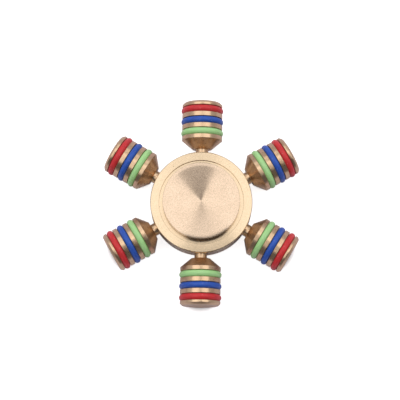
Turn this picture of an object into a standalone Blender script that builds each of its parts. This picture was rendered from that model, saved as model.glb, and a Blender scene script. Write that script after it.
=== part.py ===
"""Fidget spinner: a turned brass hub on a shielded miniature ball bearing, two screwed finger
caps, and six turned brass weights that each carry three rubber rings.

The origin is the centre of the bearing and +Z is the axis that the spinner turns about. Arm 1
points along +Y and the other arms follow it clockwise, 60 degrees apart. Units are metres.
"""

import math

import bmesh
import bpy
from mathutils import Euler, Matrix, Vector

MM = 0.001
OBJECT_NAME = "fidget_spinner"

# Clearances. A fit is pressed or screwed together on the real object.
FIT = 0.05 * MM
BALL_PLAY = 0.06 * MM

# Bearing, a shielded inch size: 1/4 in bore, 1/2 in outside, 3/16 in wide, 1/16 in balls.
BEARING_BORE_R = 3.175 * MM
BEARING_R = 6.35 * MM
BEARING_HALF = 2.381 * MM
BALL_R = 0.79375 * MM
BALL_COUNT = 10
PITCH_R = 0.5 * (BEARING_BORE_R + BEARING_R)
RACE_GROOVE_R = 1.04 * BALL_R
RACE_LAND = 0.565 * MM  # radial distance from the pitch circle to either race's land
CAGE_THICK = 0.44 * MM
CAGE_HALF = 1.15 * MM
SHIELD_THICK = 0.28 * MM
SHIELD_BORE_R = 4.35 * MM
SEAT_R = 5.85 * MM
SEAT_Z = 1.50 * MM
CLIP_WIRE_R = 0.15 * MM
CLIP_R = 5.76 * MM
CLIP_Z = 2.10 * MM
CLIP_GROOVE_R = 5.98 * MM
CLIP_GAP_DEG = 36.0
CLIP_POINTS = 24

# Hub: a thick washer with a shallow recess round the cap on each face.
HUB_R = 14.65 * MM
HUB_HALF = 3.50 * MM
HUB_CHAMFER = 0.28 * MM
RECESS_R = 12.15 * MM
RECESS_DEPTH = 0.50 * MM
HUB_BORE_R = BEARING_R + FIT

# Finger caps: a disc with a conical dish, a boss that bears on the inner race, and a post.
CAP_R = 11.0 * MM
CAP_FACE_Z = 6.30 * MM
CAP_BACK_Z = 3.40 * MM
CAP_EDGE = 0.25 * MM
CAP_BACK_EDGE = 0.20 * MM
DISH_R = 9.85 * MM
DISH_DEPTH = 0.75 * MM
BOSS_R = 3.90 * MM
POST_R = BEARING_BORE_R - FIT
CAP_THREAD_R = 1.70 * MM
CAP_STUD_TOP = 1.60 * MM
CAP_STUD_EDGE = 0.20 * MM
DRILL_POINT_DEG = 31.0  # slope of the cone that a drill leaves at the end of its hole

# Weights: stud, neck, flat shoulder, cone and a barrel with three ring grooves. Heights are
# measured along the arm from the spin axis.
ARM_COUNT = 6
ARM_START_DEG = 90.0
STUD_R = 1.97 * MM
STUD_START = 10.70 * MM
STUD_END = 14.20 * MM
STUD_EDGE = 0.25 * MM
HOLE_R = 2.05 * MM
HOLE_START = 10.30 * MM
NECK_R = 1.80 * MM
SHOULDER_R = 2.75 * MM
SHOULDER_S = 15.90 * MM
CONE_END_S = 18.45 * MM
BARREL_R = 5.82 * MM
TIP_S = 29.50 * MM
TIP_CHAMFER = 0.60 * MM
CENTRE_MARK_R = 0.45 * MM
CENTRE_MARK_DEPTH = 0.35 * MM

# Rubber rings, from the hub outward.
RING_PLACES = (("green", 20.60 * MM), ("blue", 23.90 * MM), ("red", 27.20 * MM))
RING_SECTION_R = 0.95 * MM
RING_OUTER_R = 6.08 * MM
RING_CENTRE_R = RING_OUTER_R - RING_SECTION_R
RING_GROOVE_HALF = 1.00 * MM
RING_GROOVE_R = RING_CENTRE_R - RING_SECTION_R - FIT

# How finely the round pieces are faceted.
HUB_STEPS = 60
CAP_STEPS = 40
RACE_STEPS = 30
WEIGHT_STEPS = 24
RING_SIDES = 8
GROOVE_ARC_STEPS = 6
POCKET_SIDES = 12
SHARP_ANGLE = math.radians(35.0)
MERGE = 0.001 * MM

# Each material: base colour, metallic, roughness.
MATERIALS = {
    "brass": ((0.80, 0.60, 0.33), 1.0, 0.28),
    "polished_brass": ((0.76, 0.50, 0.22), 1.0, 0.14),
    "steel": ((0.62, 0.62, 0.63), 1.0, 0.20),
    "cage_steel": ((0.48, 0.48, 0.49), 1.0, 0.35),
    "red_rubber": ((0.62, 0.035, 0.04), 0.0, 0.45),
    "blue_rubber": ((0.03, 0.09, 0.52), 0.0, 0.45),
    "green_rubber": ((0.30, 0.78, 0.30), 0.0, 0.45),
}


def clear_scene():
    for obj in list(bpy.data.objects):
        bpy.data.objects.remove(obj, do_unlink=True)


def new_collection(name):
    collection = bpy.data.collections.new(name)
    bpy.context.scene.collection.children.link(collection)
    return collection


def make_materials():
    made = {}
    for name, (colour, metallic, roughness) in MATERIALS.items():
        material = bpy.data.materials.new(name)
        material.use_nodes = True
        shader = material.node_tree.nodes["Principled BSDF"]
        shader.inputs["Base Color"].default_value = (*colour, 1.0)
        shader.inputs["Metallic"].default_value = metallic
        shader.inputs["Roughness"].default_value = roughness
        made[name] = material
    return made


def evaluated_mesh(obj, name):
    """The object's mesh with its modifiers applied, shaded smooth except at sharp edges."""
    bpy.context.view_layer.update()
    evaluated = obj.evaluated_get(bpy.context.evaluated_depsgraph_get())
    mesh = bpy.data.meshes.new_from_object(evaluated)
    mesh.name = name
    mesh.shade_smooth()
    mesh.set_sharp_from_angle(angle=SHARP_ANGLE)
    return mesh


def turned(name, profile, steps, closed=False):
    """A mesh spun about Z from (radius, height) points that run down its outer side."""
    outline = bpy.data.meshes.new(name + "_profile")
    points = [(radius, 0.0, height) for radius, height in profile]
    edges = [(i, i + 1) for i in range(len(points) - 1)]
    if closed:
        edges.append((len(points) - 1, 0))
    outline.from_pydata(points, edges, [])
    blank = bpy.data.objects.new(name + "_profile", outline)
    bpy.context.scene.collection.objects.link(blank)
    screw = blank.modifiers.new("Spin", "SCREW")
    screw.axis = "Z"
    screw.angle = 2.0 * math.pi
    screw.steps = steps
    screw.render_steps = steps
    screw.use_merge_vertices = True
    screw.merge_threshold = MERGE
    mesh = evaluated_mesh(blank, name)
    bpy.data.objects.remove(blank, do_unlink=True)
    bpy.data.meshes.remove(outline)
    return mesh


def place(name, mesh, material, parent=None, location=(0.0, 0.0, 0.0), rotation=(0.0, 0.0, 0.0)):
    """A named part that shows the mesh in the material, hung from its joint's empty."""
    obj = bpy.data.objects.new(name, mesh)
    parts.objects.link(obj)
    if not mesh.materials:
        mesh.materials.append(material)
    obj.parent = parent
    obj.location = location
    obj.rotation_euler = rotation
    return obj


def axis_empty(name):
    """An empty on the spin axis that a moving group of parts hangs from."""
    empty = bpy.data.objects.new(name, None)
    empty.empty_display_size = HUB_R
    parts.objects.link(empty)
    return empty


def radial_cutters(name, radius, inner, outer, count, start_deg, sides):
    """Closed cylinders that point outward from the spin axis, in one mesh."""
    bm = bmesh.new()
    for index in range(count):
        turn = arm_rotation(start_deg - index * 360.0 / count)
        centre = turn.to_matrix() @ Vector((0.0, 0.0, 0.5 * (inner + outer)))
        bmesh.ops.create_cone(
            bm,
            cap_ends=True,
            segments=sides,
            radius1=radius,
            radius2=radius,
            depth=outer - inner,
            matrix=Matrix.Translation(centre) @ turn.to_matrix().to_4x4(),
        )
    mesh = bpy.data.meshes.new(name)
    bm.to_mesh(mesh)
    bm.free()
    cutter = bpy.data.objects.new(name, mesh)
    cutter.hide_render = True
    cutter.display_type = "WIRE"
    cutters.objects.link(cutter)
    return cutter


def cut(obj, cutter):
    """Take the cutter out of the object for good and shade what is left."""
    boolean = obj.modifiers.new("Cut", "BOOLEAN")
    boolean.operation = "DIFFERENCE"
    boolean.solver = "EXACT"
    boolean.object = cutter
    mesh = evaluated_mesh(obj, obj.name)
    obj.modifiers.clear()
    obj.data = mesh


def arm_rotation(angle_deg):
    """The turn that lays a piece made along +Z outward at an angle from +X."""
    return Euler((0.0, 0.5 * math.pi, math.radians(angle_deg)))


def arm_point(angle_deg, distance):
    angle = math.radians(angle_deg)
    return (distance * math.cos(angle), distance * math.sin(angle), 0.0)


def arc(centre_r, radius, start, end, steps):
    """Points of an arc in the profile plane, with angles from the radius direction."""
    angles = [start + (end - start) * i / steps for i in range(steps + 1)]
    return [(centre_r + radius * math.cos(a), radius * math.sin(a)) for a in angles]


def mirrored(profile):
    """The same profile turned upside down, still running down its outer side."""
    return [(radius, -height) for radius, height in reversed(profile)]


def make_hub(rotor):
    floor = HUB_HALF - RECESS_DEPTH
    upper = [
        (HUB_BORE_R, floor),
        (RECESS_R, floor),
        (RECESS_R, HUB_HALF),
        (HUB_R - HUB_CHAMFER, HUB_HALF),
        (HUB_R, HUB_HALF - HUB_CHAMFER),
    ]
    mesh = turned("hub", upper + mirrored(upper), HUB_STEPS, closed=True)
    hub = place("hub", mesh, materials["brass"], rotor)
    holes = radial_cutters(
        "stud_holes", HOLE_R, HOLE_START, HUB_R + MM, ARM_COUNT, ARM_START_DEG, WEIGHT_STEPS
    )
    cut(hub, holes)


def make_races(rotor):
    land = PITCH_R + RACE_LAND
    centre = PITCH_R + BALL_R + BALL_PLAY - RACE_GROOVE_R
    reach = math.acos((land - centre) / RACE_GROOVE_R)
    clip_low = CLIP_Z - CLIP_WIRE_R - BALL_PLAY
    clip_high = CLIP_Z + CLIP_WIRE_R + BALL_PLAY
    upper = [
        (land, SEAT_Z),
        (SEAT_R, SEAT_Z),
        (SEAT_R, clip_low),
        (CLIP_GROOVE_R, clip_low),
        (CLIP_GROOVE_R, clip_high),
        (SEAT_R, clip_high),
        (SEAT_R, BEARING_HALF),
        (BEARING_R, BEARING_HALF),
    ]
    groove = arc(centre, RACE_GROOVE_R, -reach, reach, GROOVE_ARC_STEPS)
    outline = upper + mirrored(upper) + groove
    mesh = turned("bearing_outer_race", outline, RACE_STEPS, closed=True)
    place("bearing_outer_race", mesh, materials["steel"], rotor)

    land = PITCH_R - RACE_LAND
    centre = PITCH_R - BALL_R - BALL_PLAY + RACE_GROOVE_R
    reach = math.acos((centre - land) / RACE_GROOVE_R)
    groove = arc(centre, RACE_GROOVE_R, math.pi - reach, math.pi + reach, GROOVE_ARC_STEPS)
    outline = [(BEARING_BORE_R, BEARING_HALF), (land, BEARING_HALF)]
    outline += groove
    outline += [(land, -BEARING_HALF), (BEARING_BORE_R, -BEARING_HALF)]
    mesh = turned("bearing_inner_race", outline, RACE_STEPS, closed=True)
    place("bearing_inner_race", mesh, materials["steel"])


def make_balls(cage_axis):
    bm = bmesh.new()
    bmesh.ops.create_icosphere(bm, subdivisions=2, radius=BALL_R)
    mesh = bpy.data.meshes.new("ball")
    bm.to_mesh(mesh)
    bm.free()
    mesh.shade_smooth()
    for index in range(BALL_COUNT):
        angle = ARM_START_DEG - index * 360.0 / BALL_COUNT
        centre = arm_point(angle, PITCH_R)
        turn = (0.0, 0.0, math.radians(angle))
        place(f"ball_{index + 1}", mesh, materials["steel"], cage_axis, centre, turn)


def make_cage(cage_axis):
    inner = PITCH_R - 0.5 * CAGE_THICK
    outer = PITCH_R + 0.5 * CAGE_THICK
    upper = [(inner, CAGE_HALF), (outer, CAGE_HALF)]
    mesh = turned("bearing_cage", upper + mirrored(upper), RACE_STEPS, closed=True)
    cage = place("bearing_cage", mesh, materials["cage_steel"], cage_axis)
    pocket_r = BALL_R + BALL_PLAY
    pockets = radial_cutters(
        "ball_pockets",
        pocket_r / math.cos(math.pi / POCKET_SIDES),
        inner - MM,
        outer + MM,
        BALL_COUNT,
        ARM_START_DEG,
        POCKET_SIDES,
    )
    cut(cage, pockets)


def make_shields_and_clips(rotor):
    outer = SEAT_R - BALL_PLAY
    low = SEAT_Z + BALL_PLAY
    high = low + SHIELD_THICK
    outline = [(SHIELD_BORE_R, high), (outer, high), (outer, low), (SHIELD_BORE_R, low)]
    for side, name in ((1.0, "top"), (-1.0, "bottom")):
        shown = outline if side > 0.0 else mirrored(outline)
        mesh = turned(f"shield_{name}", shown, RACE_STEPS, closed=True)
        place(f"shield_{name}", mesh, materials["steel"], rotor)
        snap_ring(f"snap_ring_{name}", side * CLIP_Z, rotor)


def snap_ring(name, height, rotor):
    """An open wire ring that springs into the outer race over its shield."""
    curve = bpy.data.curves.new(name, "CURVE")
    curve.dimensions = "3D"
    curve.bevel_depth = CLIP_WIRE_R
    curve.bevel_resolution = 1
    curve.use_fill_caps = True
    curve.materials.append(materials["cage_steel"])
    spline = curve.splines.new("POLY")
    spline.points.add(CLIP_POINTS - 1)
    span = math.radians(360.0 - CLIP_GAP_DEG)
    start = math.radians(ARM_START_DEG + 0.5 * CLIP_GAP_DEG)
    for index, point in enumerate(spline.points):
        angle = start + span * index / (CLIP_POINTS - 1)
        point.co = (CLIP_R * math.cos(angle), CLIP_R * math.sin(angle), height, 1.0)
    obj = bpy.data.objects.new(name, curve)
    obj.parent = rotor
    parts.objects.link(obj)


def cap_disc():
    """The dished disc, from the middle of its face out and down to the foot of its boss."""
    edge = CAP_EDGE * math.sqrt(0.5)
    return [
        (0.0, CAP_FACE_Z - DISH_DEPTH),
        (DISH_R, CAP_FACE_Z),
        (CAP_R - CAP_EDGE, CAP_FACE_Z),
        (CAP_R - CAP_EDGE + edge, CAP_FACE_Z - CAP_EDGE + edge),
        (CAP_R, CAP_FACE_Z - CAP_EDGE),
        (CAP_R, CAP_BACK_Z + CAP_BACK_EDGE),
        (CAP_R - CAP_BACK_EDGE, CAP_BACK_Z),
        (BOSS_R, CAP_BACK_Z),
        (BOSS_R, BEARING_HALF + FIT),
    ]


def make_caps():
    socket_r = CAP_THREAD_R + FIT
    post_end = -BEARING_HALF + FIT
    socket_top = CAP_STUD_TOP + CAP_STUD_EDGE
    post = [
        (POST_R, BEARING_HALF + FIT),
        (POST_R, post_end + CAP_STUD_EDGE),
        (POST_R - CAP_STUD_EDGE, post_end),
        (socket_r, post_end),
        (socket_r, socket_top),
        (0.0, socket_top + socket_r * math.tan(math.radians(DRILL_POINT_DEG))),
    ]
    mesh = turned("cap_top", cap_disc() + post, CAP_STEPS)
    place("cap_top", mesh, materials["brass"])

    stud = [
        (0.0, CAP_STUD_TOP),
        (CAP_THREAD_R - CAP_STUD_EDGE, CAP_STUD_TOP),
        (CAP_THREAD_R, CAP_STUD_TOP - CAP_STUD_EDGE),
        (CAP_THREAD_R, -BEARING_HALF - FIT),
    ]
    mesh = turned("cap_bottom", stud + mirrored(cap_disc()), CAP_STEPS)
    place("cap_bottom", mesh, materials["brass"])


def weight_profile():
    """The weight standing on its stud, from the middle of its end face down."""
    outline = [
        (0.0, TIP_S - CENTRE_MARK_DEPTH),
        (CENTRE_MARK_R, TIP_S),
        (BARREL_R - TIP_CHAMFER, TIP_S),
        (BARREL_R, TIP_S - TIP_CHAMFER),
    ]
    for _, centre in reversed(RING_PLACES):
        outline += [
            (BARREL_R, centre + RING_GROOVE_HALF),
            (RING_GROOVE_R, centre + RING_GROOVE_HALF),
            (RING_GROOVE_R, centre - RING_GROOVE_HALF),
            (BARREL_R, centre - RING_GROOVE_HALF),
        ]
    outline += [
        (BARREL_R, CONE_END_S),
        (SHOULDER_R, SHOULDER_S),
        (NECK_R, SHOULDER_S),
        (NECK_R, STUD_END),
        (STUD_R, STUD_END),
        (STUD_R, STUD_START + STUD_EDGE),
        (STUD_R - STUD_EDGE, STUD_START),
        (0.0, STUD_START),
    ]
    return outline


def make_weights(rotor):
    mesh = turned("weight", weight_profile(), WEIGHT_STEPS)
    for index in range(ARM_COUNT):
        angle = ARM_START_DEG - index * 360.0 / ARM_COUNT
        turn = arm_rotation(angle)
        place(f"weight_{index + 1}", mesh, materials["polished_brass"], rotor, rotation=turn)


def make_rubber_rings(rotor):
    section = arc(RING_CENTRE_R, RING_SECTION_R, 2.0 * math.pi, 0.0, RING_SIDES)[:-1]
    for colour, distance in RING_PLACES:
        mesh = turned(f"oring_{colour}", section, WEIGHT_STEPS, closed=True)
        for index in range(ARM_COUNT):
            angle = ARM_START_DEG - index * 360.0 / ARM_COUNT
            centre = arm_point(angle, distance)
            turn = arm_rotation(angle)
            name = f"oring_{colour}_{index + 1}"
            place(name, mesh, materials[f"{colour}_rubber"], rotor, centre, turn)


clear_scene()
parts = new_collection(OBJECT_NAME)
cutters = new_collection(OBJECT_NAME + "_cutters")
materials = make_materials()
rotor_axis = axis_empty("rotor_axis")
cage_axis = axis_empty("cage_axis")
make_caps()
make_races(rotor_axis)
make_cage(cage_axis)
make_balls(cage_axis)
make_shields_and_clips(rotor_axis)
make_hub(rotor_axis)
make_weights(rotor_axis)
make_rubber_rings(rotor_axis)
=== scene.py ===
"""Looks of the fidget spinner: fine turned meshes, brass, steel and rubber materials, studio."""
import math

import bmesh
import bpy
from mathutils import Euler, Matrix, Vector


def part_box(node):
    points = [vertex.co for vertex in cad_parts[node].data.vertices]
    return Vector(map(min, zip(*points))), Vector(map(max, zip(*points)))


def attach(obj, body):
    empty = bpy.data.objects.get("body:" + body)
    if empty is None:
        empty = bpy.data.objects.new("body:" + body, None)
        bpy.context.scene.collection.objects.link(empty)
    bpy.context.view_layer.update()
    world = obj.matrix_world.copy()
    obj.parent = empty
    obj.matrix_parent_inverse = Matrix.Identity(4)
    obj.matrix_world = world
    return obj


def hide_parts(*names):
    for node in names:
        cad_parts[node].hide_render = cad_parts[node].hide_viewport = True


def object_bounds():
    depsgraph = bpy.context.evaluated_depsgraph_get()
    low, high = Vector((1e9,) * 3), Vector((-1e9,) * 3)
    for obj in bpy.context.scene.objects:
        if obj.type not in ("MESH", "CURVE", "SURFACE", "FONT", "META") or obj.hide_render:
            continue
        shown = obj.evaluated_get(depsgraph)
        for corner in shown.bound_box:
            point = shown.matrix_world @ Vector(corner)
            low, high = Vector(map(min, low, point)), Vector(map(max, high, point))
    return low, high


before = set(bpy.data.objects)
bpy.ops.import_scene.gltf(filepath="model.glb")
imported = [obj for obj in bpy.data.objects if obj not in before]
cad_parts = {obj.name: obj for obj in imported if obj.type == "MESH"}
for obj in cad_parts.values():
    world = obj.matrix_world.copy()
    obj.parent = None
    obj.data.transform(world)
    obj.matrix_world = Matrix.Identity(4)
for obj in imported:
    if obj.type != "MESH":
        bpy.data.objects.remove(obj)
cad_low, cad_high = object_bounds()
MM = 0.001

# Sizes read from the frame.
hub_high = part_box("hub")[1]
cap_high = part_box("cap_top")[1]
race_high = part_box("bearing_outer_race")[1]
inner_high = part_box("bearing_inner_race")[1]
weight_low, weight_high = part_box("weight_1")
ball_low, ball_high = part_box("ball_1")
HUB_R, HUB_HALF = hub_high.x, hub_high.z
CAP_R, CAP_FACE_Z = cap_high.x, cap_high.z
RACE_R, RACE_HALF = race_high.x, race_high.z
INNER_LAND_R = inner_high.x
TIP_S, STUD_START, BARREL_R = weight_high.y, weight_low.y, weight_high.z
BALL_R = 0.5 * (ball_high.z - ball_low.z)
PITCH_R = 0.5 * (ball_high.y + ball_low.y)
RING_OUTER_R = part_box("oring_red_1")[1].z
RING_COLOURS = ("green", "blue", "red")
RING_S = {c: 0.5 * sum(corner.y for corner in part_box(f"oring_{c}_1")) for c in RING_COLOURS}

# Hub and cap details.
HUB_EDGE = 0.28 * MM
RECESS_R = 12.15 * MM
RECESS_DEPTH = 0.50 * MM
RELIEF_WIDTH = 0.07 * MM
RELIEF_DEPTH = 0.15 * MM
FIT = 0.05 * MM
HUB_BORE_R = RACE_R + FIT
HUB_BORE_EDGE = 0.12 * MM
RECESS_EDGE = 0.05 * MM
HOLE_R = 2.05 * MM
HOLE_START = 10.30 * MM
CAP_BACK_Z = 3.40 * MM
CAP_EDGE = 0.10 * MM
CAP_BACK_EDGE = 0.20 * MM
DISH_R = 9.85 * MM
DISH_DEPTH = 0.75 * MM
DISH_CENTRE_R = 0.12 * MM
LIP_RISE = 0.035 * MM
BOSS_R = 3.90 * MM
BOSS_Z = RACE_HALF + FIT
BOSS_EDGE = 0.08 * MM
BOSS_FOOT_EDGE = 0.15 * MM
POST_FOOT_EDGE = 0.05 * MM
POST_EDGE = 0.20 * MM
POST_R = 3.125 * MM
POST_END = 2.331 * MM
THREAD_R = 1.70 * MM
THREAD_EDGE = 0.20 * MM
THREAD_FOOT_EDGE = 0.05 * MM
SOCKET_R = THREAD_R + FIT
SOCKET_EDGE = 0.10 * MM
STUD_TOP = 1.60 * MM
SOCKET_TOP = 1.80 * MM
DRILL_POINT = math.radians(31.0)

# Weight and rubber ring details, along the arm from the spin axis.
STUD_R = 1.97 * MM
STUD_END = 14.20 * MM
STUD_EDGE = 0.25 * MM
NECK_R = 1.80 * MM
SHOULDER_R = 2.75 * MM
SHOULDER_S = 15.90 * MM
CONE_END_S = 18.45 * MM
TIP_CHAMFER = 0.60 * MM
BODY_EDGE = 0.12 * MM
SHANK_EDGE = 0.05 * MM
MARK_EDGE = 0.04 * MM
GROOVE_EDGE = 0.08 * MM
GROOVE_CORNER = 0.15 * MM
CENTRE_MARK_R = 0.45 * MM
CENTRE_MARK_DEPTH = 0.35 * MM
RING_SECTION_R = 0.95 * MM
GROOVE_HALF = 1.00 * MM
GROOVE_R = RING_OUTER_R - 2.0 * RING_SECTION_R - FIT

ARM_COUNT = 6
BALL_COUNT = 10
FIRST_ARM_DEG = 90.0

# Bearing details.
BALL_PLAY = 0.06 * MM
RACE_BORE_R = 3.175 * MM
RACE_GROOVE_R = 1.04 * BALL_R
RACE_LAND = 0.565 * MM
RACE_EDGE = 0.15 * MM
RACE_BORE_EDGE = 0.12 * MM
LAND_EDGE = 0.08 * MM
OUTER_LAND_DROP = 0.2 * MM
INNER_LAND_DROP = 0.3 * MM
SEAT_EDGE = 0.04 * MM
SLOT_EDGE = 0.03 * MM
SLOT_LIP_EDGE = 0.02 * MM
CAGE_THICK = 0.44 * MM
CAGE_EDGE = 0.06 * MM
CAGE_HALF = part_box("bearing_cage")[1].z
SHIELD_THICK = 0.28 * MM
SHIELD_BORE_R = 4.35 * MM
SHIELD_BAND = 0.35 * MM
SHIELD_BAND_FOOT = 0.45 * MM
SHIELD_STEP = 0.05 * MM
SHIELD_EDGE = 0.05 * MM
SHIELD_BACK_EDGE = 0.04 * MM
SEAT_R = 5.85 * MM
SEAT_Z = 1.50 * MM
CLIP_WIRE_R = 0.15 * MM
CLIP_SLOT_HALF = CLIP_WIRE_R + BALL_PLAY
CLIP_R = 5.76 * MM
CLIP_Z = 2.10 * MM
CLIP_GROOVE_R = 5.98 * MM
CLIP_GAP = math.radians(36.0)
CLIP_END_SCALE = 0.6

# How finely the round pieces are divided.
HUB_STEPS = 180
CAP_STEPS = 144
WEIGHT_STEPS = 72
RING_STEPS = 72
RING_SECTION_STEPS = 20
RACE_STEPS = 96
RACE_ARC_STEPS = 12
POCKET_SIDES = 32
BALL_SUBDIVISIONS = 4
CLIP_POINTS = 60
CLIP_BEVEL_RESOLUTION = 3
SHARP_ANGLE = math.radians(35.0)
FLAT_FACE_WEIGHT = 85
ON_AXIS = 1e-9
SAME_POINT = 1e-7

# Studio. The camera's azimuth and elevation, in degrees, are taken round the bearing's centre.
CAMERA_AZIMUTH = 0.69
CAMERA_ELEVATION = 80.66
CAMERA_DISTANCE = 0.4808
CAMERA_LENS = 150.2
CAMERA_LEFT = 0.37 * MM
CAMERA_UP = 1.13 * MM
SENSOR_WIDTH = 36.0
LIGHT_HEIGHT = 0.8
FLOOR_SIZE = 6.0
FLOOR_GAP = 0.00002
# How far from the object the floor's painted contact shadow reaches.
PAINTED_SHADOW_REACH = 2.5 * MM
ROOM_DEPTH_LEVELS = (-0.7, 0.5, 0.13, 0.50)
ROOM_HEIGHT_LEVELS = (0.5, 0.9, 1.0, 0.31)

# Texture frequencies, in noise cells per metre.
GROOVE_SCALE = 7000.0
GRIT_SCALE = 2700.0
TARNISH_SCALE = 220.0
PIT_SCALE = 1900.0
MOTTLE_SCALE = 420.0
POWDER_SCALE = 6000.0
SPECK_SCALE = 2100.0

# How far a groove's noise is drawn out along its turn, per radian.
TURN_STRETCH = 0.4 * MM
BUMP_HEIGHT = 0.01 * MM
PIT_COLOUR = (0.16, 0.10, 0.05, 1.0)
DUST_COLOUR = (0.85, 0.82, 0.84, 1.0)


# ---------------------------------------------------------------- materials

class Nodes:
    """Short names for building one material's node tree."""

    def __init__(self, name):
        self.material = bpy.data.materials.new(name)
        self.material.use_nodes = True
        self.tree = self.material.node_tree
        self.shader = self.tree.nodes["Principled BSDF"]

    def add(self, kind, inputs=None, **settings):
        node = self.tree.nodes.new(kind)
        for key, value in settings.items():
            setattr(node, key, value)
        for key, value in (inputs or {}).items():
            if isinstance(value, bpy.types.NodeSocket):
                self.tree.links.new(value, node.inputs[key])
            else:
                node.inputs[key].default_value = value
        return node

    def math(self, operation, a, b=0.0):
        return self.add("ShaderNodeMath", {0: a, 1: b}, operation=operation).outputs[0]

    def noise(self, vector, scale, detail=2.0, roughness=0.5):
        inputs = {"Vector": vector, "Scale": scale, "Detail": detail, "Roughness": roughness}
        return self.add("ShaderNodeTexNoise", inputs).outputs["Fac"]

    def remap(self, value, low, high, to_low, to_high):
        inputs = {"Value": value, "From Min": low, "From Max": high, "To Min": to_low, "To Max": to_high}
        return self.add("ShaderNodeMapRange", inputs).outputs["Result"]

    def mix(self, factor, a, b):
        node = self.add("ShaderNodeMix", data_type="RGBA")
        for socket, value in ((node.inputs[0], factor), (node.inputs[6], a), (node.inputs[7], b)):
            if isinstance(value, bpy.types.NodeSocket):
                self.tree.links.new(value, socket)
            else:
                socket.default_value = value
        return node.outputs[2]

    def link(self, output, socket):
        self.tree.links.new(output, self.shader.inputs[socket])


def turned_metal(name, light, dark, roughness, anisotropy, grain, middle_roughness=1.0):
    """Metal cut on a lathe: fine rings run round local Z under a sandy grain and slow tarnish.

    A facing cut slows towards its middle, so the finish there is middle_roughness times rougher."""
    n = Nodes(name)
    place = n.add("ShaderNodeTexCoord").outputs["Object"]
    split = n.add("ShaderNodeSeparateXYZ", {0: place}).outputs
    radius = n.math("SQRT", n.math("ADD", n.math("POWER", split[0], 2.0), n.math("POWER", split[1], 2.0)))
    turn = n.math("MULTIPLY", n.math("ARCTAN2", split[1], split[0]), TURN_STRETCH)
    along = n.add("ShaderNodeCombineXYZ", {0: radius, 1: split[2], 2: turn}).outputs[0]
    grooves = n.noise(along, GROOVE_SCALE, 3.0, 0.6)
    grit = n.noise(place, GRIT_SCALE, 2.0, 0.7)
    tarnish = n.noise(place, TARNISH_SCALE, 4.0, 0.6)
    wave = n.math("ADD", n.math("MULTIPLY", grit, grain), n.math("MULTIPLY", tarnish, 0.3))
    wave = n.math("ADD", wave, n.math("MULTIPLY", grooves, 0.3))
    middle = 0.5 * grain + 0.3
    tone = n.remap(wave, middle - 0.22, middle + 0.22, 0.0, 1.0)
    pits = n.remap(n.noise(place, PIT_SCALE, 1.0, 0.5), 0.755, 0.80, 0.0, 0.55 * grain)
    colour = n.mix(tone, (*dark, 1.0), (*light, 1.0))
    n.link(n.mix(pits, colour, PIT_COLOUR), "Base Color")
    rough = n.math("ADD", n.math("MULTIPLY", grooves, 0.5), n.math("MULTIPLY", grit, 0.5))
    rough = n.remap(rough, 0.25, 0.75, 0.85 * roughness, 1.15 * roughness)
    slowing = n.remap(radius, 0.0, DISH_R, middle_roughness, 1.0)
    n.link(n.math("MULTIPLY", rough, slowing), "Roughness")
    bump = n.add("ShaderNodeBump", {"Height": grooves, "Strength": 0.10, "Distance": BUMP_HEIGHT})
    bump = n.add("ShaderNodeBump", {
        "Height": grit, "Strength": 0.25 * grain, "Distance": BUMP_HEIGHT, "Normal": bump.outputs[0]})
    n.link(bump.outputs[0], "Normal")
    tangent = n.add("ShaderNodeTangent", direction_type="RADIAL", axis="Z")
    n.link(tangent.outputs[0], "Tangent")
    n.shader.inputs["Metallic"].default_value = 1.0
    n.shader.inputs["Anisotropic"].default_value = anisotropy
    n.shader.inputs["Anisotropic Rotation"].default_value = 0.25
    return n.material


def moulded_rubber(name, colour, deep):
    """Satin silicone rubber with a faint mottle, a powdery micro texture and specks of dust."""
    n = Nodes(name)
    place = n.add("ShaderNodeTexCoord").outputs["Object"]
    mottle = n.noise(place, MOTTLE_SCALE, 3.0, 0.6)
    powder = n.noise(place, POWDER_SCALE, 2.0, 0.6)
    tone = n.remap(n.math("ADD", mottle, n.math("MULTIPLY", powder, 0.5)), 0.55, 0.95, 0.0, 1.0)
    tint = n.mix(tone, (*deep, 1.0), (*colour, 1.0))
    specks = n.remap(n.noise(place, SPECK_SCALE, 1.0, 0.5), 0.70, 0.76, 0.0, 0.45)
    n.link(n.mix(specks, tint, DUST_COLOUR), "Base Color")
    n.link(n.remap(powder, 0.3, 0.7, 0.38, 0.52), "Roughness")
    bump = n.add("ShaderNodeBump", {"Height": powder, "Strength": 0.25, "Distance": 2.0 * BUMP_HEIGHT})
    n.link(bump.outputs[0], "Normal")
    n.shader.inputs["Specular IOR Level"].default_value = 0.55
    n.shader.inputs["Sheen Weight"].default_value = 0.15
    n.shader.inputs["Sheen Roughness"].default_value = 0.5
    return n.material


# ---------------------------------------------------------------- meshes

def rounded(corners, closed=False, arc_steps=4):
    """Outline points from (radius, height, fillet radius) corners."""
    count = len(corners)
    result = []
    for index, (radius, height, fillet) in enumerate(corners):
        here = Vector((radius, height))
        ends_here = not closed and index in (0, count - 1)
        if ends_here or fillet == 0.0:
            result.append(here)
            continue
        into = (here - Vector(corners[index - 1][:2])).normalized()
        out = (Vector(corners[(index + 1) % count][:2]) - here).normalized()
        turn = math.atan2(into.cross(out), into.dot(out))
        start = here - into * fillet * math.tan(0.5 * abs(turn))
        side = Vector((-into.y, into.x)) * math.copysign(fillet, turn)
        centre = start + side
        for step in range(arc_steps + 1):
            angle = turn * step / arc_steps
            c, s = math.cos(angle), math.sin(angle)
            result.append(centre - Vector((side.x * c - side.y * s, side.x * s + side.y * c)))
    return result


def arc(centre_r, radius, start, end, steps):
    """Outline points of an arc, with angles from the radius direction."""
    angles = [start + (end - start) * step / steps for step in range(steps + 1)]
    return [Vector((centre_r + radius * math.cos(a), radius * math.sin(a))) for a in angles]


def mirrored(corners):
    """The same corners turned upside down, still running down the outer side."""
    return [(radius, -height, fillet) for radius, height, fillet in reversed(corners)]


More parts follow.
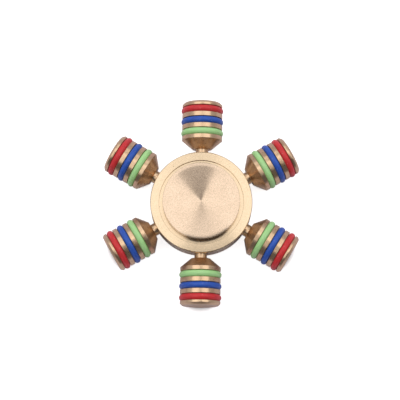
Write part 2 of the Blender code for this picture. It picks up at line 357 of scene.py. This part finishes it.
def lathe(name, outline, steps, closed=False):
    """A mesh spun about local Z from outline points that run down its outer side."""
    verts, rings = [], []
    for point in outline:
        on_axis = point.x < ON_AXIS
        ring = []
        for step in range(1 if on_axis else steps):
            angle = 2.0 * math.pi * step / steps
            ring.append(len(verts))
            verts.append((point.x * math.cos(angle), point.x * math.sin(angle), point.y))
        rings.append(ring)
    pairs = list(zip(rings, rings[1:]))
    if closed:
        pairs.append((rings[-1], rings[0]))
    faces = []
    for upper, lower in pairs:
        for step in range(steps):
            ahead = (step + 1) % steps
            if len(upper) == 1:
                faces.append((upper[0], lower[step], lower[ahead]))
            elif len(lower) == 1:
                faces.append((upper[step], lower[0], upper[ahead]))
            else:
                faces.append((upper[step], lower[step], lower[ahead], upper[ahead]))
    mesh = bpy.data.meshes.new(name)
    mesh.from_pydata(verts, [], faces)
    return mesh


def finished(mesh, cutter=None):
    """The mesh after an optional cut, shaded smooth with its flat faces kept flat."""
    blank = bpy.data.objects.new(mesh.name + "_blank", mesh)
    bpy.context.scene.collection.objects.link(blank)
    if cutter:
        boolean = blank.modifiers.new("Cut", "BOOLEAN")
        boolean.operation = "DIFFERENCE"
        boolean.object = cutter
    mesh = evaluated(blank)
    mesh.shade_smooth()
    mesh.set_sharp_from_angle(angle=SHARP_ANGLE)
    blank.modifiers.clear()
    blank.data = mesh
    weighted = blank.modifiers.new("Flat faces", "WEIGHTED_NORMAL")
    weighted.keep_sharp = True
    weighted.weight = FLAT_FACE_WEIGHT
    mesh = evaluated(blank)
    bpy.data.objects.remove(blank, do_unlink=True)
    if cutter:
        bpy.data.objects.remove(cutter, do_unlink=True)
    return mesh


def evaluated(obj):
    """A new mesh of the object as its modifiers leave it."""
    bpy.context.view_layer.update()
    graph = bpy.context.evaluated_depsgraph_get()
    return bpy.data.meshes.new_from_object(obj.evaluated_get(graph))


def radial_cutters(name, radius, inner, outer, count, sides):
    """Cylinders that point outward from the spin axis, the first one along arm 1."""
    bm = bmesh.new()
    for index in range(count):
        angle = math.radians(FIRST_ARM_DEG - index * 360.0 / count)
        turn = Euler((0.0, 0.5 * math.pi, angle)).to_matrix()
        centre = turn @ Vector((0.0, 0.0, 0.5 * (inner + outer)))
        placed = Matrix.Translation(centre) @ turn.to_4x4()
        bmesh.ops.create_cone(bm, cap_ends=True, segments=sides, radius1=radius,
                              radius2=radius, depth=outer - inner, matrix=placed)
    mesh = bpy.data.meshes.new(name)
    bm.to_mesh(mesh)
    bm.free()
    cutter = bpy.data.objects.new(name, mesh)
    bpy.context.scene.collection.objects.link(cutter)
    cutter.hide_render = True
    return cutter


def show(name, mesh, material, body, node, location=(0, 0, 0), rotation=(0, 0, 0)):
    """A finished piece in place of its CAD node."""
    piece = bpy.data.objects.new(name, mesh)
    bpy.context.scene.collection.objects.link(piece)
    if not mesh.materials:
        mesh.materials.append(material)
    piece.location = location
    piece.rotation_euler = rotation
    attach(piece, body)
    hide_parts(node)


def arm_angle(index):
    return math.radians(FIRST_ARM_DEG - index * 360.0 / ARM_COUNT)


def arm_turn(index):
    return Euler((0.0, 0.5 * math.pi, arm_angle(index)))


# ---------------------------------------------------------------- brass pieces

def cap_corners():
    """The dished disc, from the middle of its face to the foot of its boss.

    A small first ring keeps the shading of a true cone right up to the dish's middle."""
    return [
        (0.0, CAP_FACE_Z - DISH_DEPTH, 0.0),
        (DISH_CENTRE_R, CAP_FACE_Z - DISH_DEPTH * (1.0 - DISH_CENTRE_R / DISH_R), 0.0),
        (DISH_R, CAP_FACE_Z - LIP_RISE, 0.0),
        (CAP_R, CAP_FACE_Z, CAP_EDGE),
        (CAP_R, CAP_BACK_Z, CAP_BACK_EDGE),
        (BOSS_R, CAP_BACK_Z, BOSS_FOOT_EDGE),
        (BOSS_R, BOSS_Z, BOSS_EDGE),
    ]


def make_caps(brass):
    post = [
        (POST_R, BOSS_Z, POST_FOOT_EDGE),
        (POST_R, -POST_END, POST_EDGE),
        (SOCKET_R, -POST_END, SOCKET_EDGE),
        (SOCKET_R, SOCKET_TOP, SOCKET_EDGE),
        (0.0, SOCKET_TOP + SOCKET_R * math.tan(DRILL_POINT), 0.0),
    ]
    top = finished(lathe("cap_top_fine", rounded(cap_corners() + post), CAP_STEPS))
    show("finger_cap_top", top, brass, "caps", "cap_top")
    stud = [
        (0.0, STUD_TOP, 0.0),
        (THREAD_R, STUD_TOP, THREAD_EDGE),
        (THREAD_R, -BOSS_Z, THREAD_FOOT_EDGE),
    ]
    corners = stud + mirrored(cap_corners())
    bottom = finished(lathe("cap_bottom_fine", rounded(corners), CAP_STEPS))
    show("finger_cap_bottom", bottom, brass, "caps", "cap_bottom")


def make_hub(brass):
    floor = HUB_HALF - RECESS_DEPTH
    upper = [
        (HUB_BORE_R, floor, HUB_BORE_EDGE),
        (RECESS_R - RELIEF_WIDTH, floor, 0.0),
        (RECESS_R - RELIEF_WIDTH, floor - RELIEF_DEPTH, 0.0),
        (RECESS_R, floor - RELIEF_DEPTH, 0.0),
        (RECESS_R, HUB_HALF, RECESS_EDGE),
        (HUB_R, HUB_HALF, HUB_EDGE),
    ]
    blank = lathe("hub_fine", rounded(upper + mirrored(upper), closed=True), HUB_STEPS, closed=True)
    holes = radial_cutters("stud_holes", HOLE_R, HOLE_START, HUB_R + MM, ARM_COUNT, WEIGHT_STEPS)
    show("hub_body", finished(blank, holes), brass, "rotor", "hub")


def weight_corners():
    """The weight standing on its stud, from the middle of its end face down."""
    corners = [
        (0.0, TIP_S - CENTRE_MARK_DEPTH, 0.0),
        (CENTRE_MARK_R, TIP_S, MARK_EDGE),
        (BARREL_R - TIP_CHAMFER, TIP_S, BODY_EDGE),
        (BARREL_R, TIP_S - TIP_CHAMFER, BODY_EDGE),
    ]
    for colour in reversed(RING_COLOURS):
        high, low = RING_S[colour] + GROOVE_HALF, RING_S[colour] - GROOVE_HALF
        corners += [
            (BARREL_R, high, GROOVE_EDGE),
            (GROOVE_R, high, GROOVE_CORNER),
            (GROOVE_R, low, GROOVE_CORNER),
            (BARREL_R, low, GROOVE_EDGE),
        ]
    corners += [
        (BARREL_R, CONE_END_S, BODY_EDGE),
        (SHOULDER_R, SHOULDER_S, BODY_EDGE),
        (NECK_R, SHOULDER_S, BODY_EDGE),
        (NECK_R, STUD_END, SHANK_EDGE),
        (STUD_R, STUD_END, SHANK_EDGE),
        (STUD_R, STUD_START, STUD_EDGE),
        (0.0, STUD_START, 0.0),
    ]
    return corners


def make_weights(brass):
    mesh = finished(lathe("weight_fine", rounded(weight_corners(), arc_steps=3), WEIGHT_STEPS))
    for index in range(ARM_COUNT):
        name = f"barrel_weight_{index + 1}"
        show(name, mesh, brass, "rotor", f"weight_{index + 1}",
             rotation=arm_turn(index))


def make_rubber_rings(rubbers):
    """Rings of round section, one of each colour on every weight."""
    centre_r = RING_OUTER_R - RING_SECTION_R
    for colour in RING_COLOURS:
        outline = arc(centre_r, RING_SECTION_R, 2.0 * math.pi, 0.0, RING_SECTION_STEPS)[:-1]
        mesh = finished(lathe(f"ring_{colour}_fine", outline, RING_STEPS, closed=True))
        for index in range(ARM_COUNT):
            angle = arm_angle(index)
            centre = (RING_S[colour] * math.cos(angle), RING_S[colour] * math.sin(angle), 0.0)
            name = f"rubber_ring_{colour}_{index + 1}"
            show(name, mesh, rubbers[colour], "rotor", f"oring_{colour}_{index + 1}",
                 centre, arm_turn(index))


# ---------------------------------------------------------------- bearing

def make_races(steel):
    """Outer and inner race, each with a deep groove for the balls."""
    land = PITCH_R + RACE_LAND
    centre = PITCH_R + BALL_R + BALL_PLAY - RACE_GROOVE_R
    reach = math.acos((land - centre) / RACE_GROOVE_R)
    upper = [
        (land, SEAT_Z, SEAT_EDGE),
        (SEAT_R, SEAT_Z, SEAT_EDGE),
        (SEAT_R, CLIP_Z - CLIP_SLOT_HALF, SLOT_EDGE),
        (CLIP_GROOVE_R, CLIP_Z - CLIP_SLOT_HALF, SLOT_EDGE),
        (CLIP_GROOVE_R, CLIP_Z + CLIP_SLOT_HALF, SLOT_EDGE),
        (SEAT_R, CLIP_Z + CLIP_SLOT_HALF, SLOT_LIP_EDGE),
        (SEAT_R, RACE_HALF, SEAT_EDGE),
        (RACE_R, RACE_HALF, RACE_EDGE),
    ]
    corners = [(land, SEAT_Z - OUTER_LAND_DROP, 0.0)] + upper
    groove = arc(centre, RACE_GROOVE_R, -reach, reach, RACE_ARC_STEPS)
    outline = rounded(corners + mirrored(corners), arc_steps=3) + groove
    mesh = finished(lathe("outer_race_fine", outline, RACE_STEPS, closed=True))
    show("outer_race", mesh, steel, "rotor", "bearing_outer_race")

    centre = PITCH_R - BALL_R - BALL_PLAY + RACE_GROOVE_R
    reach = math.acos((centre - INNER_LAND_R) / RACE_GROOVE_R)
    groove = arc(centre, RACE_GROOVE_R, math.pi - reach, math.pi + reach, RACE_ARC_STEPS)
    upper = [
        (RACE_BORE_R, 0.5 * RACE_HALF, 0.0),
        (RACE_BORE_R, RACE_HALF, RACE_BORE_EDGE),
        (INNER_LAND_R, RACE_HALF, LAND_EDGE),
        (INNER_LAND_R, RACE_HALF - INNER_LAND_DROP, 0.0),
    ]
    lower = [Vector((p.x, -p.y)) for p in reversed(rounded(upper))]
    outline = rounded(upper) + groove + lower
    mesh = finished(lathe("inner_race_fine", outline, RACE_STEPS, closed=True))
    show("inner_race", mesh, steel, "caps", "bearing_inner_race")


def make_balls(steel):
    bm = bmesh.new()
    bmesh.ops.create_icosphere(bm, subdivisions=BALL_SUBDIVISIONS, radius=BALL_R)
    mesh = bpy.data.meshes.new("ball_fine")
    bm.to_mesh(mesh)
    bm.free()
    mesh.shade_smooth()
    for index in range(BALL_COUNT):
        angle = math.radians(FIRST_ARM_DEG - index * 360.0 / BALL_COUNT)
        centre = (PITCH_R * math.cos(angle), PITCH_R * math.sin(angle), 0.0)
        body = f"ball_{index + 1}"
        show(f"bearing_ball_{index + 1}", mesh, steel, body, body,
             centre, (0.0, 0.0, angle))


def make_cage(cage_steel):
    inner, outer = PITCH_R - 0.5 * CAGE_THICK, PITCH_R + 0.5 * CAGE_THICK
    upper = [(inner, CAGE_HALF, CAGE_EDGE), (outer, CAGE_HALF, CAGE_EDGE)]
    blank = lathe("cage_fine", rounded(upper + mirrored(upper), closed=True), RACE_STEPS, closed=True)
    pockets = radial_cutters(
        "pockets", BALL_R + BALL_PLAY, inner - MM, outer + MM, BALL_COUNT, POCKET_SIDES)
    show("ball_cage", finished(blank, pockets), cage_steel, "cage", "bearing_cage")


def make_shields(steel):
    """Pressed discs, each a little thicker in a narrow band round its bore."""
    low = SEAT_Z + BALL_PLAY
    high = low + SHIELD_THICK
    outer = SEAT_R - BALL_PLAY
    upper = [
        (SHIELD_BORE_R, high, SHIELD_EDGE),
        (SHIELD_BORE_R + SHIELD_BAND, high, SHIELD_EDGE),
        (SHIELD_BORE_R + SHIELD_BAND_FOOT, high - SHIELD_STEP, SHIELD_EDGE),
        (outer, high - SHIELD_STEP, SHIELD_EDGE),
        (outer, low, SHIELD_BACK_EDGE),
        (SHIELD_BORE_R, low, SHIELD_BACK_EDGE),
    ]
    for corners, side in ((upper, "top"), (mirrored(upper), "bottom")):
        blank = lathe(f"shield_{side}_fine", rounded(corners, closed=True), RACE_STEPS, closed=True)
        show(f"bearing_shield_{side}", finished(blank), steel, "rotor", f"shield_{side}")


def make_snap_rings(cage_steel):
    """Open rings of spring wire, thinned at the ends, that hold the shields in."""
    for side, name in ((1.0, "top"), (-1.0, "bottom")):
        curve = bpy.data.curves.new(f"snap_ring_{name}_fine", "CURVE")
        curve.dimensions = "3D"
        curve.bevel_depth = CLIP_WIRE_R
        curve.bevel_resolution = CLIP_BEVEL_RESOLUTION
        curve.use_fill_caps = True
        spline = curve.splines.new("POLY")
        spline.points.add(CLIP_POINTS - 1)
        span = 2.0 * math.pi - CLIP_GAP
        for index, point in enumerate(spline.points):
            angle = math.radians(FIRST_ARM_DEG) + 0.5 * CLIP_GAP + span * index / (CLIP_POINTS - 1)
            point.co = (CLIP_R * math.cos(angle), CLIP_R * math.sin(angle), side * CLIP_Z, 1.0)
            at_end = index in (0, CLIP_POINTS - 1)
            point.radius = CLIP_END_SCALE if at_end else 1.0
        blank = bpy.data.objects.new(curve.name, curve)
        bpy.context.scene.collection.objects.link(blank)
        mesh = evaluated(blank)
        bpy.data.objects.remove(blank, do_unlink=True)
        bm = bmesh.new()
        bm.from_mesh(mesh)
        bmesh.ops.remove_doubles(bm, verts=bm.verts, dist=SAME_POINT)
        bm.to_mesh(mesh)
        bm.free()
        mesh.materials.clear()
        mesh.shade_smooth()
        mesh.set_sharp_from_angle(angle=SHARP_ANGLE)
        show(f"shield_clip_{name}", mesh, cage_steel, "rotor", f"snap_ring_{name}")


# ---------------------------------------------------------------- studio

def make_floor():
    """Pale paper that glows evenly white to the camera, with a painted contact shadow where ambient
    occlusion near the object dims the glow. The pieces see and reflect a darker lavender copy of the
    paper, which is painted shade that the camera never sees.
    """
    bpy.ops.mesh.primitive_plane_add(size=FLOOR_SIZE, location=(0.0, 0.0, cad_low.z - FLOOR_GAP))
    floor = bpy.context.object
    floor.name = "studio_floor"
    n = Nodes("studio_paper")
    n.shader.inputs["Roughness"].default_value = 0.9
    n.shader.inputs["Specular IOR Level"].default_value = 0.0
    n.shader.inputs["Emission Color"].default_value = (1.0, 1.0, 1.0, 1.0)
    seen = n.add("ShaderNodeLightPath").outputs["Is Camera Ray"]
    # Painted contact shadow: the camera-only glow is dimmed where ambient occlusion finds the object
    # close by.
    occlusion = n.add("ShaderNodeAmbientOcclusion", {"Distance": PAINTED_SHADOW_REACH}, samples=16)
    open_sky = occlusion.outputs["AO"]
    glow_and_painted_shadow = n.remap(open_sky, 0.50, 0.85, 0.10, 0.82)
    n.link(n.math("MULTIPLY", seen, glow_and_painted_shadow), "Emission Strength")
    # Painted shade: rays other than the camera's get a darker lavender paper than the camera sees, so the
    # pieces reflect a shaded floor.
    n.link(n.mix(seen, (0.84, 0.81, 0.92, 1.0), (0.97, 0.97, 1.0, 1.0)), "Base Color")
    floor.data.materials.append(n.material)


def softbox(name, corners, radiance):
    """A flat panel of light overhead, from the directions of its corners as seen from the object.

    A direction is (degrees to the right, degrees to the back) from straight up."""
    verts = [[LIGHT_HEIGHT * math.tan(math.radians(a)) for a in c] + [LIGHT_HEIGHT] for c in corners]
    mesh = bpy.data.meshes.new(name)
    mesh.from_pydata(verts, [], [range(len(verts))])
    n = Nodes(name)
    n.shader.inputs["Base Color"].default_value = (0.0, 0.0, 0.0, 1.0)
    n.shader.inputs["Emission Color"].default_value = (1.0, 0.98, 0.98, 1.0)
    n.shader.inputs["Emission Strength"].default_value = radiance
    mesh.materials.append(n.material)
    panel = bpy.data.objects.new(name, mesh)
    bpy.context.scene.collection.objects.link(panel)


def make_lights():
    """Softboxes all round the lens, which shows as the dark sector in the caps' dishes."""
    softbox("softbox_overhead", [(-48, -1.8), (48, 10.6), (48, 24), (-48, 24)], 1.37)
    softbox("softbox_back_left", [(-50, 24), (-8, 24), (-8, 52), (-50, 52)], 1.16)
    softbox("softbox_back_right", [(8, 24), (50, 24), (50, 52), (8, 52)], 1.16)
    softbox("softbox_left", [(-78, -8), (-54, -8), (-54, 24), (-78, 24)], 0.75)
    softbox("softbox_right", [(54, -8), (78, -8), (78, 24), (54, 24)], 0.43)
    softbox("softbox_front_left", [(-2.1, 4.1), (-48, -1.8), (-48, -27), (-16, -27)], 1.37)
    softbox("softbox_front_right", [(4.1, 4.9), (25, -18), (48, -20), (48, 10.6)], 1.37)


def make_world():
    """A room that is dim in front and overhead and paler behind."""
    world = bpy.data.worlds.new("studio_world")
    bpy.context.scene.world = world
    world.use_nodes = True
    tree = world.node_tree
    place = tree.nodes.new("ShaderNodeTexCoord").outputs["Generated"]
    split = tree.nodes.new("ShaderNodeSeparateXYZ")
    tree.links.new(place, split.inputs[0])
    levels = []
    for axis, limits in ((1, ROOM_DEPTH_LEVELS), (2, ROOM_HEIGHT_LEVELS)):
        ramp = tree.nodes.new("ShaderNodeMapRange")
        ramp.interpolation_type = "SMOOTHSTEP"
        tree.links.new(split.outputs[axis], ramp.inputs["Value"])
        for key, value in zip(("From Min", "From Max", "To Min", "To Max"), limits):
            ramp.inputs[key].default_value = value
        levels.append(ramp.outputs[0])
    product = tree.nodes.new("ShaderNodeMath")
    product.operation = "MULTIPLY"
    tree.links.new(levels[0], product.inputs[0])
    tree.links.new(levels[1], product.inputs[1])
    background = tree.nodes["Background"]
    background.inputs["Color"].default_value = (0.96, 0.94, 1.0, 1.0)
    tree.links.new(product.outputs[0], background.inputs["Strength"])


def make_camera():
    """The camera, looking down at the hub from slightly in front."""
    azimuth, elevation = math.radians(CAMERA_AZIMUTH), math.radians(CAMERA_ELEVATION)
    back = Vector((
        math.sin(azimuth) * math.cos(elevation),
        -math.cos(azimuth) * math.cos(elevation),
        math.sin(elevation),
    ))
    right = Vector((math.cos(azimuth), math.sin(azimuth), 0.0))
    up = back.cross(right)
    data = bpy.data.cameras.new("camera")
    data.lens = CAMERA_LENS
    data.sensor_width = SENSOR_WIDTH
    data.clip_start = 0.01
    data.clip_end = 20.0
    camera = bpy.data.objects.new("camera", data)
    camera.location = back * CAMERA_DISTANCE - right * CAMERA_LEFT + up * CAMERA_UP
    camera.rotation_euler = back.to_track_quat("Z", "Y").to_euler()
    bpy.context.scene.collection.objects.link(camera)
    bpy.context.scene.camera = camera


# ---------------------------------------------------------------- the spinner

brass = turned_metal("turned_brass", (0.83, 0.66, 0.45), (0.69, 0.54, 0.36), 0.165, 0.91, 0.8)
faced = turned_metal("faced_brass", (0.82, 0.64, 0.475), (0.61, 0.47, 0.335), 0.165, 0.91, 1.0, 1.35)
polished = turned_metal("polished_brass", (0.86, 0.62, 0.40), (0.69, 0.47, 0.285), 0.29, 0.55, 0.6)
steel = turned_metal("bearing_steel", (0.60, 0.60, 0.61), (0.46, 0.46, 0.47), 0.18, 0.3, 0.2)
cage_steel = turned_metal("cage_steel", (0.48, 0.48, 0.49), (0.30, 0.30, 0.31), 0.33, 0.2, 0.6)
rubbers = {
    "red": moulded_rubber("red_rubber", (0.90, 0.036, 0.043), (0.76, 0.026, 0.033)),
    "blue": moulded_rubber("blue_rubber", (0.025, 0.135, 0.68), (0.018, 0.100, 0.56)),
    "green": moulded_rubber("green_rubber", (0.57, 1.00, 0.43), (0.50, 0.97, 0.36)),
}
make_camera()
make_lights()
make_world()
make_floor()
make_caps(faced)
make_hub(brass)
make_weights(polished)
make_rubber_rings(rubbers)
make_races(steel)
make_balls(steel)
make_cage(cage_steel)
make_shields(steel)
make_snap_rings(cage_steel)
bpy.context.scene.view_settings.view_transform = "Standard"
